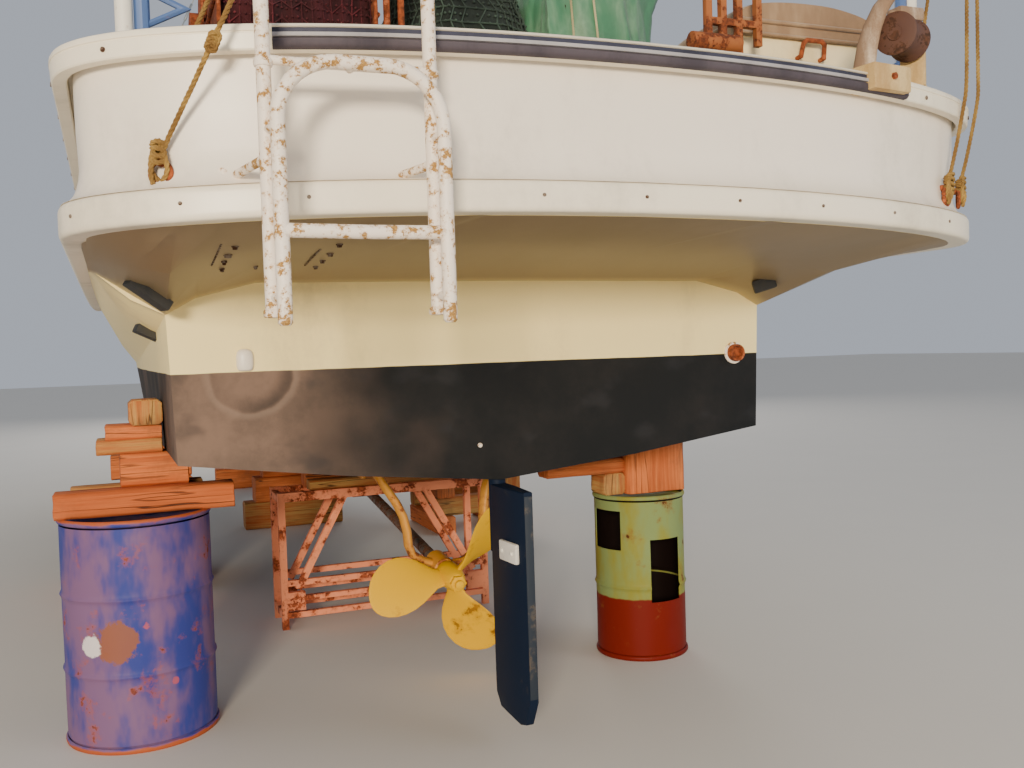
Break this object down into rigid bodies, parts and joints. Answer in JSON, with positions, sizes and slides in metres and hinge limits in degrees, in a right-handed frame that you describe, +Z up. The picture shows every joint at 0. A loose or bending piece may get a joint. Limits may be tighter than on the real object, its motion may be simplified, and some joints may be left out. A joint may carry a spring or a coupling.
{
  "type": "small stern trawler on shore supports",
  "caption": "Small stern trawler with a wide overhanging after deck, propeller and rudder, standing on drums, a trestle and timber.",
  "frame": {"origin": "on the ground, under the middle of the overall length and breadth", "axes": "+Y to the stern, +X to port, +Z up"},
  "size_m": [3.36, 12.024, 6.17],
  "materials": {
    "gelcoat": "satin",
    "antifouling": "matte",
    "cream": "satin",
    "strip": "satin",
    "painted": "chalky",
    "rusted": "rusted",
    "blue": "chalky",
    "navy": "matte",
    "yellow": "satin",
    "timber": "weathered",
    "net": "rough",
    "tarp": "matte",
    "canvas": "matte",
    "glass": "clear",
    "steel": "weathered",
    "engine": "satin",
    "halved": "weathered"
  },
  "bodies": {
    "boat": {"bow_bitt": "painted", "bow_roller": "steel", "bulwark_port": "gelcoat", "bulwark_starboard": "gelcoat", "bulwark_stern": "gelcoat", "cap_rail_port": "cream", "cap_rail_starboard": "cream", "cap_rail_stern": "cream", "centre_drum": "halved", "centre_timber": "timber", "crib_port": "timber", "crib_starboard": "timber", "engine_block": "engine", "engine_casing": "gelcoat", "exhaust_outlet": "rusted", "fore_coaming": "gelcoat", "forestay": "steel", "front_glass": "glass", "gantry_beam": "painted", "gantry_leg_port": "painted", "gantry_leg_starboard": "painted", "grid_stand": "rusted", "hold_coaming": "gelcoat", "hull": "gelcoat", "keel": "antifouling", "keel_block_fore": "timber", "keel_block_mid": "timber", "ladder": "painted", "locker_cover": "canvas", "mast": "painted", "net_bundle": "tarp", "net_drum_frame": "rusted", "port_drum": "blue", "port_timber": "timber", "roller_bracket": "cream", "rubbing_band_port": "cream", "rubbing_band_starboard": "cream", "rubbing_band_stern": "cream", "shaft_bracket": "yellow", "side_glass_port": "glass", "side_glass_starboard": "glass", "stern_locker": "cream", "stern_overhang": "gelcoat", "stern_strip": "strip", "trestle": "rusted", "trestle_timber": "timber", "wheelhouse": "gelcoat", "wheelhouse_roof": "gelcoat", "winch_frame": "blue"},
    "rudder": {"rudder": "navy"},
    "propeller": {"propeller": "yellow"},
    "net_drum": {"net_drum": "net"},
    "winch_drums": {"winch_drums": "rusted"},
    "hold_lid": {"hold_lid": "gelcoat"},
    "fore_lid": {"fore_lid": "gelcoat"},
    "casing_lid": {"casing_lid": "gelcoat"},
    "wheelhouse_door": {"wheelhouse_door": "painted"},
    "boom": {"boom": "painted"},
    "radar_scanner": {"radar_scanner": "painted"},
    "stern_roller": {"stern_roller": "cream"}
  },
  "joints": [
    {"name": "rudder_steer", "type": "hinge", "parent": "boat", "child": "rudder", "pos_m": [0, 4.6429, 1], "axis": [0, 0, 1], "range_deg": [-35, 35]},
    {"name": "propeller_spin", "type": "hinge", "parent": "boat", "child": "propeller", "pos_m": [0, 4.0209, 0.464], "axis": [0, 0.9925, -0.1219], "continuous": true},
    {"name": "net_drum_spin", "type": "hinge", "parent": "boat", "child": "net_drum", "pos_m": [0.76, 4.6309, 2.62], "axis": [1, 0, 0], "continuous": true},
    {"name": "winch_spin", "type": "hinge", "parent": "boat", "child": "winch_drums", "pos_m": [0, 1.8409, 2.3], "axis": [1, 0, 0], "continuous": true},
    {"name": "stern_roller_spin", "type": "hinge", "parent": "boat", "child": "stern_roller", "pos_m": [-0.96, 5.7989, 2.425], "axis": [0.8988, 0.4384, 0], "continuous": true},
    {"name": "hold_lid_open", "type": "hinge", "parent": "boat", "child": "hold_lid", "pos_m": [0, 2.4109, 2.12899], "axis": [1, 0, 0], "range_deg": [0, 100]},
    {"name": "fore_lid_open", "type": "hinge", "parent": "boat", "child": "fore_lid", "pos_m": [0, -3.1891, 2.42743], "axis": [1, 0, 0], "range_deg": [0, 100]},
    {"name": "casing_lid_open", "type": "hinge", "parent": "boat", "child": "casing_lid", "pos_m": [0.58, 0.6909, 2.7803], "axis": [0, 1, 0], "range_deg": [0, 90]},
    {"name": "wheelhouse_door_open", "type": "hinge", "parent": "boat", "child": "wheelhouse_door", "pos_m": [-0.284, 0.0369, 3.3], "axis": [0, 0, 1], "range_deg": [0, 110]},
    {"name": "boom_swing", "type": "hinge", "parent": "boat", "child": "boom", "pos_m": [0, -0.0491, 4.23], "axis": [0, 0, 1], "range_deg": [-70, 70]},
    {"name": "radar_spin", "type": "hinge", "parent": "boat", "child": "radar_scanner", "pos_m": [0, -0.6791, 5.05], "axis": [0, 0, 1], "continuous": true}
  ]
}
